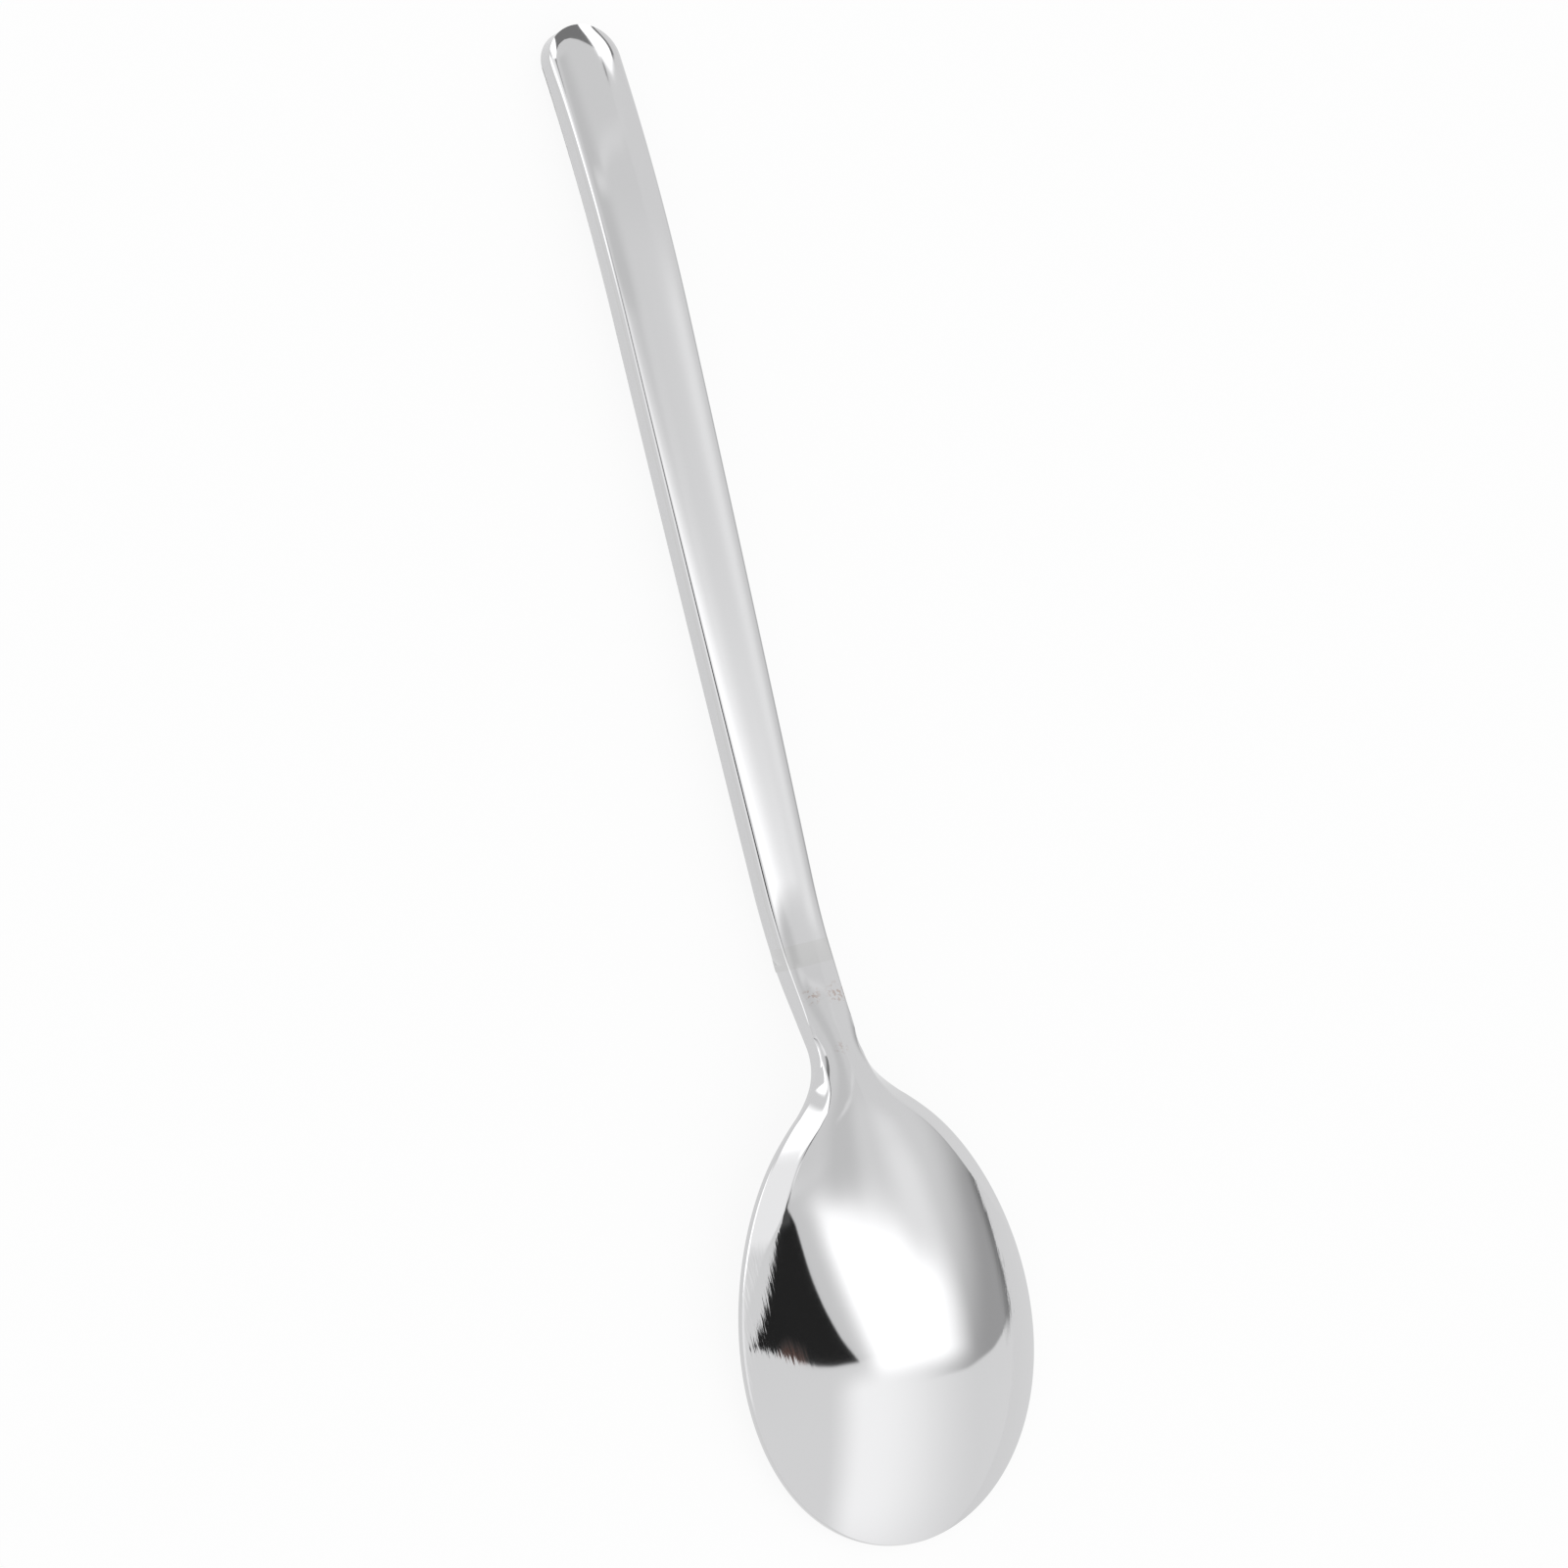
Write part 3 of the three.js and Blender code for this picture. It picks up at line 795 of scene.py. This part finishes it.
class SPOON_OT_welds(bpy.types.Operator):
    """Makes the ground beads of the handle's seam and of its mouth"""

    bl_idname = "spoon.welds"
    bl_label = "Welds"

    def execute(self, context):
        form, colours = SpoonForm(context.scene), context.scene.spoon_colours
        weld = polished_steel("ground weld steel", colours.weld, WELD_ROUGHNESS, BUFFED_LINES)
        add_piece("spoon_seam", loft(form.bead_rings()), [weld], "seam_weld")
        add_piece("spoon_neck_joint", loft(form.neck_weld_rings()), [weld], "neck_weld")
        return {"FINISHED"}


# Light tent over the stage
TENT_LIGHT = (1.03, 0.96)  # of its base, at the front and at the back
TENT_REACH = 40  # degrees from straight up to that front and back

# Its cloths from the lowest up: light, corners in degrees from straight up to +X and +Y, edges' softness
TENT_CLOTHS = (
    ("front cloth", 1.42, ((-9, -84), (32, -84), (32, -30), (-9, -30)), (22, 28, 4, 9)),
    (
        "grey side cloth",
        0.5,
        (
            (38, -35), (52, -34.5), (70, -31), (80, -27.3), (88, -23),
            (92.5, -17), (95, -9), (94, 30), (76, 20), (55, -14),
        ),
        (0.5, 0.5, 0.5, 0.5, 0.5, 0.5, 0.5, 8, 20, 17),
    ),
    (
        "hem of the grey cloth",
        0.2,
        ((84, -27), (88, -23), (92.5, -17), (95, -9), (94, 2), (88, 1.5)),
        (0.5, 0.5, 0.5, 0.5, 4, 5),
    ),
    ("left cloth", 1.25, ((-56, -30), (-56, 20), (-110, 20), (-110, -30)), (5, 3, 3, 6)),
    ("rear left cloth", 1.3, ((-20, 16), (-30, 120), (-110, 120), (-110, 16)), (6, 8, 8, 6)),
    (
        "opening for the camera",
        0.025,
        (
            (-50, -14), (-35, -19.5), (-25, -23.5), (-15, -25.5), (-2, -26.5),
            (0, -20), (-20, 7.5), (-28, 8), (-38, 2.3), (-45, -6.5),
        ),
        (0.5, 0.4, 0.4, 0.4, 0.4, 0.4, 0.4, 0.4, 0.6, 1),
    ),
    ("slit over the opening", 0.1, ((-34, 4), (-28.5, 4), (-28, 16), (-33, 16)), (1, 1, 4, 1)),
    (
        "roof beside the opening",
        0.9,
        ((-2, -26.5), (12, -26.5), (12, 11), (-30, 11), (-22, -5), (-17, -12), (-10, -20)),
        (0.4, 4, 2, 0.4, 0.4, 0.4, 0.4),
    ),
    (
        "softbox",
        1.9,
        ((4, -31), (48, -31), (49, -10), (23, 0), (-19, 5.5), (-12, -9), (-2.5, -21)),
        (3, 12, 10, 8, 10, 10, 6),
    ),
    (
        "dark gap behind",
        0.28,
        ((28, 26), (33, 26), (48, 120), (-90, 120), (-90, 26)),
        (0.6, 0.6, 2, 2, 1),
    ),
    (
        "roof behind",
        0.94,
        (
            (-26, 14), (32, 14), (32, 31), (26.5, 42), (20, 50),
            (12, 54), (0, 54), (-10, 50), (-19, 40), (-26, 26),
        ),
        (4, 0.3, 0.3, 0.3, 0.3, 0.3, 0.3, 0.3, 0.4, 0.6),
    ),
    ("shaded roof", 0.83, ((-6, 6), (14, 4), (14, 35), (-6, 35)), (5, 8, 4, 7)),
    ("lit roof on the right", 1.2, ((32, -9), (50, -9), (50, 9), (32, 9)), (8, 8, 6, 8)),
    ("rear left wall", 0.98, ((-30, 14), (-27, 120), (-110, 120), (-110, 14)), (3, 4, 8, 3)),
    ("rear left lamp", 1.3, ((-38, 13), (-38, 47), (-95, 47), (-95, 13)), (3, 5, 4, 3)),
    ("left lamp", 1.9, ((-60, 11), (-60, 62), (-95, 62), (-95, 11)), (4, 3, 4, 3)),
    ("rear lamp", 2.0, ((-44, 43), (-21, 38), (-12, 46), (-10, 120), (-50, 120)), (3, 1.5, 2, 8, 4)),
    (
        "lit strip behind",
        1.9,
        ((31, 28.5), (38, 26.5), (46, 28), (52, 45), (60, 80), (40, 80), (33, 42)),
        (0.6, 0.6, 0.6, 0.6, 2, 0.5, 0.5),
    ),
    ("dark strip behind", 0.3, ((46.5, 28), (53, 29), (66, 70), (60, 72)), (0.5, 1, 1, 0.5)),
    ("left fold in the roof", 1.04, ((2, 16.5), (16, 16.5), (16, 18.5), (2, 18.5)), (1, 6, 1, 5)),
    ("right fold in the roof", 1.04, ((16, 18), (32, 21), (32, 23), (16, 20)), (1, 8, 1, 4)),
)

# Warm glimmer at the foot of the opening, as corners and softness in degrees
WARM_GLIMMER = (((-39, -17.8), (-27, -22.6), (-27, -20.5), (-37, -15.5)), (0.5, 1.5, 2.5, 2.5))
GLIMMER_LIGHT = 0.13
GLIMMER_COLOUR = "#FFC8B8"

# White of the surroundings and the floor
WHITE = (1, 1, 1, 1)
FLOOR_SPAN = 4  # half the floor's side, in metres
FLOOR_GLOW = 0.88  # share of plain white in what the camera and the steel see of the floor


class SPOON_OT_stage(bpy.types.Operator):
    """Makes the floor, the light tent and the camera"""

    bl_idname = "spoon.stage"
    bl_label = "Stage"

    def execute(self, context):
        self.add_floor(context)
        self.add_tent(context)
        self.add_camera(context)
        context.scene.view_settings.view_transform = "Standard"
        return {"FINISHED"}

    def add_floor(self, context):
        """White floor that keeps a faint shadow and shows as white in the picture and in the steel."""
        mesh = bmesh.new()
        bmesh.ops.create_grid(mesh, x_segments=2, y_segments=2, size=FLOOR_SPAN)
        material, tree = new_material("white studio floor")
        matt = add_node(
            tree, "ShaderNodeBsdfDiffuse", {"Color": context.scene.spoon_colours.floor}
        ).outputs["BSDF"]
        white = add_node(tree, "ShaderNodeEmission", {"Strength": 1.0}).outputs["Emission"]
        ray = add_node(tree, "ShaderNodeLightPath").outputs
        seen = add_node(
            tree, "ShaderNodeMath", {0: ray["Is Camera Ray"], 1: ray["Is Glossy Ray"]}, operation="MAXIMUM"
        ).outputs["Value"]
        seen = add_node(
            tree, "ShaderNodeMath", {0: seen, 1: ray["Is Transmission Ray"]}, operation="MAXIMUM"
        ).outputs["Value"]
        share = add_node(
            tree, "ShaderNodeMath", {0: seen, 1: FLOOR_GLOW}, operation="MULTIPLY"
        ).outputs["Value"]
        both = add_node(tree, "ShaderNodeMixShader", {0: share, 1: matt, 2: white}).outputs["Shader"]
        add_node(tree, "ShaderNodeOutputMaterial", {"Surface": both})
        add_object("floor", mesh, [material])

    def add_tent(self, context):
        """World of soft cloths, laid out by the angle from straight up."""
        world = bpy.data.worlds.new("light tent")
        context.scene.world = world
        world.use_nodes = True
        tree = world.node_tree
        tree.nodes.clear()
        way = add_node(tree, "ShaderNodeTexCoord").outputs["Generated"]
        height = add_node(tree, "ShaderNodeSeparateXYZ", {"Vector": way}).outputs["Z"]
        turn = add_node(tree, "ShaderNodeMath", {0: height}, operation="ARCCOSINE").outputs["Value"]
        degrees = add_node(tree, "ShaderNodeMath", {0: turn}, operation="DEGREES").outputs["Value"]
        level = add_node(
            tree, "ShaderNodeVectorMath", {0: way, 1: (1, 1, 0)}, operation="MULTIPLY"
        ).outputs["Vector"]
        heading = add_node(tree, "ShaderNodeVectorMath", {0: level}, operation="NORMALIZE").outputs["Vector"]
        spot = add_node(
            tree, "ShaderNodeVectorMath", {0: heading, "Scale": degrees}, operation="SCALE"
        ).outputs["Vector"]
        along = add_node(tree, "ShaderNodeSeparateXYZ", {"Vector": spot}).outputs["Y"]
        light = add_node(
            tree,
            "ShaderNodeMapRange",
            {
                "Value": along,
                "From Min": -TENT_REACH,
                "From Max": TENT_REACH,
                "To Min": TENT_LIGHT[0],
                "To Max": TENT_LIGHT[1],
            },
        ).outputs["Result"]
        for cloth, cloth_light, corners, softness in TENT_CLOTHS:
            mask = panel_mask(tree, spot, corners, softness)
            light = add_node(
                tree, "ShaderNodeMix", {0: mask, 2: light, 3: cloth_light}, label=cloth
            ).outputs[0]
        glimmer = panel_mask(tree, spot, *WARM_GLIMMER)
        light = add_node(tree, "ShaderNodeMix", {0: glimmer, 2: light, 3: GLIMMER_LIGHT}).outputs[0]
        tone = add_node(
            tree, "ShaderNodeMix", {0: glimmer, 6: WHITE, 7: linear(GLIMMER_COLOUR)}, data_type="RGBA"
        ).outputs[2]
        cloths = add_node(tree, "ShaderNodeBackground", {"Color": tone, "Strength": light})
        plain = add_node(tree, "ShaderNodeBackground", {"Color": WHITE, "Strength": 1.0})
        ray = add_node(tree, "ShaderNodeLightPath").outputs
        shown = add_node(
            tree,
            "ShaderNodeMixShader",
            {0: ray["Is Glossy Ray"], 1: plain.outputs["Background"], 2: cloths.outputs["Background"]},
        ).outputs["Shader"]
        add_node(tree, "ShaderNodeOutputWorld", {"Surface": shown})

    def add_camera(self, context):
        lean, pitch, roll = CAMERA_LEAN, CAMERA_PITCH, CAMERA_ROLL
        back = Vector((-math.sin(lean) * math.cos(pitch), math.sin(pitch), math.cos(lean) * math.cos(pitch)))
        level_up = (Vector((0, 1, 0)) - back * back.y).normalized()
        level_right = level_up.cross(back)
        right = level_right * math.cos(roll) + level_up * math.sin(roll)
        up = level_up * math.cos(roll) - level_right * math.sin(roll)
        place = right * CAMERA_ASIDE[0] + up * CAMERA_ASIDE[1] + back * CAMERA_DISTANCE
        data = bpy.data.cameras.new("camera")
        data.lens, data.sensor_width = CAMERA_LENS, CAMERA_SENSOR
        camera = bpy.data.objects.new("camera", data)
        camera.matrix_world = Matrix.Translation(place) @ Matrix((right, up, back)).transposed().to_4x4()
        context.scene.collection.objects.link(camera)
        context.scene.camera = camera


class SPOON_PT_panel(bpy.types.Panel):
    """Lists the spoon's pieces, sizes and colours"""

    bl_idname = "SPOON_PT_panel"
    bl_label = "Table spoon"
    bl_space_type = "VIEW_3D"
    bl_region_type = "UI"
    bl_category = "Spoon"

    def draw(self, context):
        for operator in OPERATORS:
            self.layout.operator(operator.bl_idname)
        for group in PROPERTY_GROUPS:
            box = self.layout.box()
            values = getattr(context.scene, group)
            for name in values.bl_rna.properties.keys():
                if name not in ("name", "rna_type"):
                    box.prop(values, name)


PROPERTY_GROUPS = {
    "spoon_bowl": SpoonBowlSizes,
    "spoon_neck": SpoonNeckSizes,
    "spoon_handle": SpoonHandleSizes,
    "spoon_colours": SpoonColours,
}
OPERATORS = (SPOON_OT_bowl_and_neck, SPOON_OT_handle, SPOON_OT_welds, SPOON_OT_stage)


def register():
    for kind in (*PROPERTY_GROUPS.values(), *OPERATORS, SPOON_PT_panel):
        bpy.utils.register_class(kind)
    for name, kind in PROPERTY_GROUPS.items():
        setattr(bpy.types.Scene, name, PointerProperty(type=kind))


def unregister():
    for name in PROPERTY_GROUPS:
        delattr(bpy.types.Scene, name)
    for kind in (SPOON_PT_panel, *reversed(OPERATORS), *reversed(tuple(PROPERTY_GROUPS.values()))):
        bpy.utils.unregister_class(kind)


def main():
    register()
    bpy.ops.spoon.bowl_and_neck()
    bpy.ops.spoon.handle()
    bpy.ops.spoon.welds()
    bpy.ops.spoon.stage()


if __name__ == "__main__":
    main()
